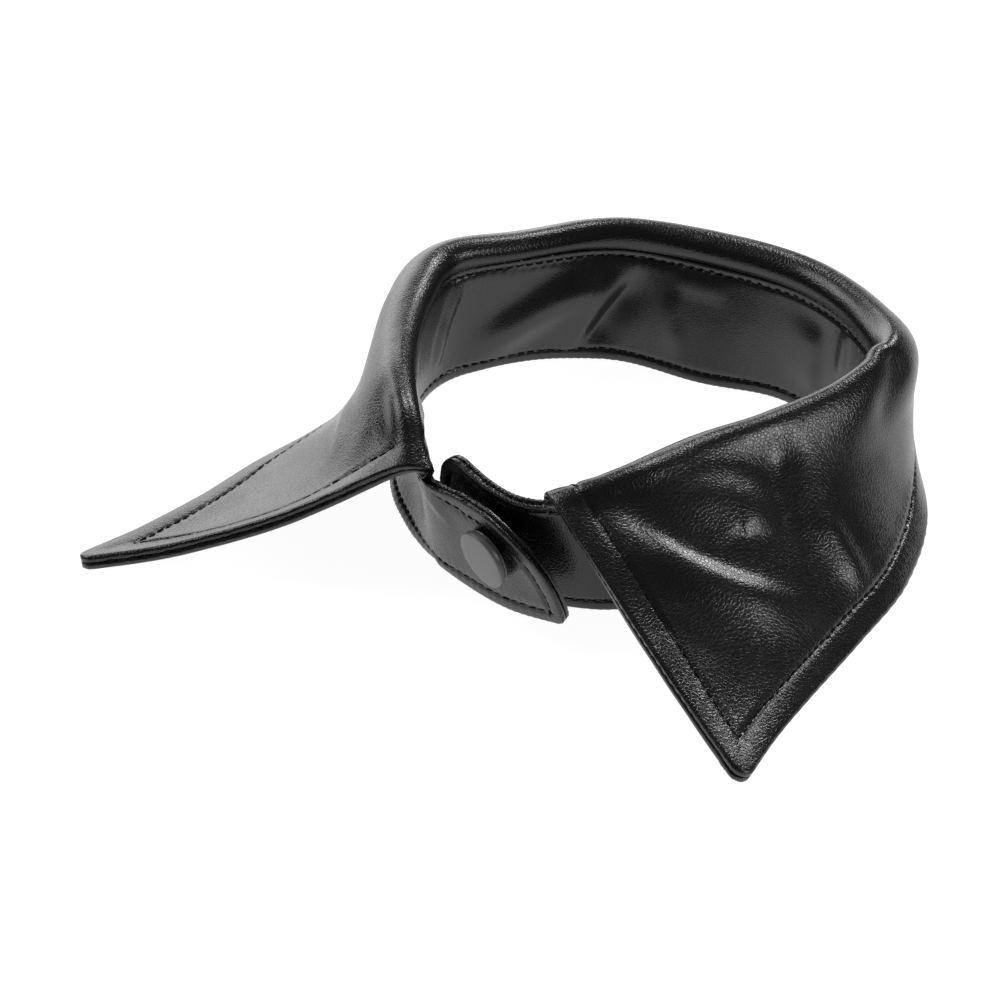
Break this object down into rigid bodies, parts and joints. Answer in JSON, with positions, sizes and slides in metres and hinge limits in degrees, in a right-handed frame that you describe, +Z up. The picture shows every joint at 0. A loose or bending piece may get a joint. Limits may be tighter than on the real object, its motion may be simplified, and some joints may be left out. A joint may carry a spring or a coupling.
{
  "type": "detachable shirt collar",
  "caption": "Detachable shirt collar: a turned-down leaf rolled over a stand strip, with a tab that snaps over an underlap in front.",
  "frame": {"origin": "centre of the bounding box's bottom, on the surface that the collar stands on", "axes": "+Z up along the wearer's neck; -Y is the front, where the snap closes; +X is the wearer's left"},
  "size_m": [0.1818, 0.183, 0.0417],
  "materials": {
    "collar_leather": "black, fine pebble grain, semi-gloss",
    "lining_leather": "black, fine pebble grain, satin",
    "cap_lacquer": "black lacquer, satin",
    "snap_metal": "blackened steel"
  },
  "bodies": {
    "root": {"stand_outer": "collar_leather", "stand_inner": "lining_leather", "leaf_upper": "collar_leather", "leaf_under": "lining_leather", "snap_cap": "cap_lacquer", "snap_socket": "snap_metal", "snap_stud": "snap_metal", "snap_washer": "snap_metal"}
  },
  "joints": []
}
